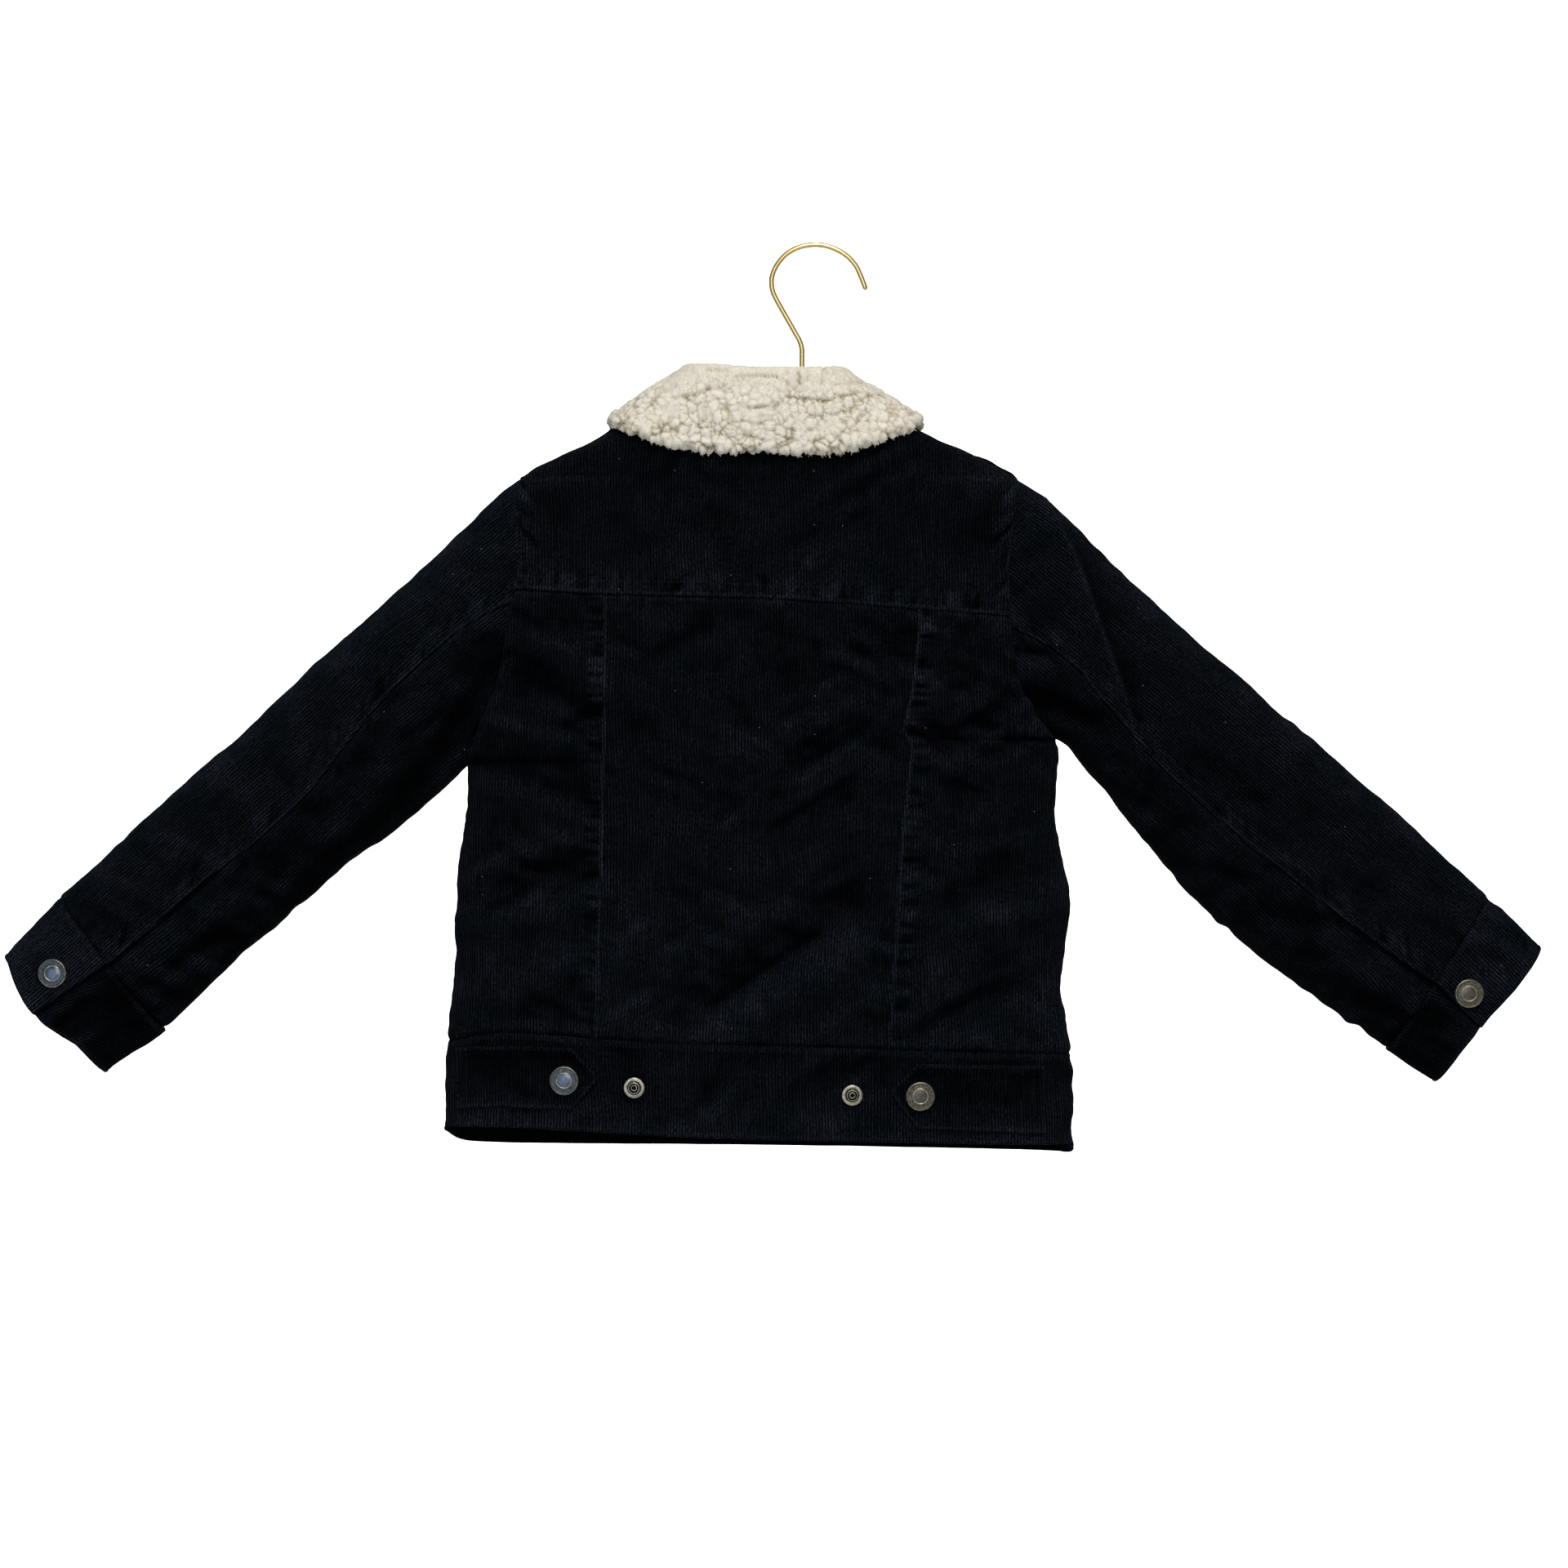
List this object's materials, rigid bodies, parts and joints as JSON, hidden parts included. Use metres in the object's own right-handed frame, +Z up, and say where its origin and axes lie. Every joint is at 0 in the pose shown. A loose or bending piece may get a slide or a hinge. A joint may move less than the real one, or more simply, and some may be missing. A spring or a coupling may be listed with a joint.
{
  "type": "sherpa lined jacket on a wire hanger",
  "caption": "Child's fine corduroy jacket with a folded sherpa collar, waistband tabs and snap cuffs, hanging on a wire hanger.",
  "frame": {"origin": "inside top of the hanger's hook, where a rail carries it", "axes": "+X towards the wearer's right, +Y towards the garment's front, +Z up"},
  "size_m": [0.8996, 0.0708, 0.5287],
  "materials": {
    "corduroy": "black 14-wale cotton corduroy, brushed nap",
    "sherpa": "cream curled pile",
    "snap_brass": "antique, worn bright on the rims",
    "hanger_wire": "satin gold plating"
  },
  "bodies": {
    "root": {"back_yoke": "corduroy", "back_side_left": "corduroy", "back_centre": "corduroy", "back_side_right": "corduroy", "front_left": "corduroy", "front_right": "corduroy", "waistband_back": "corduroy", "waistband_front_left": "corduroy", "waistband_front_right": "corduroy", "front_band": "corduroy", "tab_left": "corduroy", "tab_right": "corduroy", "sleeve_left_upper": "corduroy", "sleeve_left_under": "corduroy", "sleeve_right_upper": "corduroy", "sleeve_right_under": "corduroy", "cuff_left": "corduroy", "cuff_right": "corduroy", "collar": "sherpa", "tab_cap_left": "snap_brass", "stud_left": "snap_brass", "cuff_cap_left": "snap_brass", "tab_cap_right": "snap_brass", "stud_right": "snap_brass", "cuff_cap_right": "snap_brass", "front_cap_1": "snap_brass", "front_cap_2": "snap_brass", "front_cap_3": "snap_brass", "front_cap_4": "snap_brass", "front_cap_5": "snap_brass", "hanger_hook": "hanger_wire", "hanger_arms": "hanger_wire"}
  },
  "joints": []
}
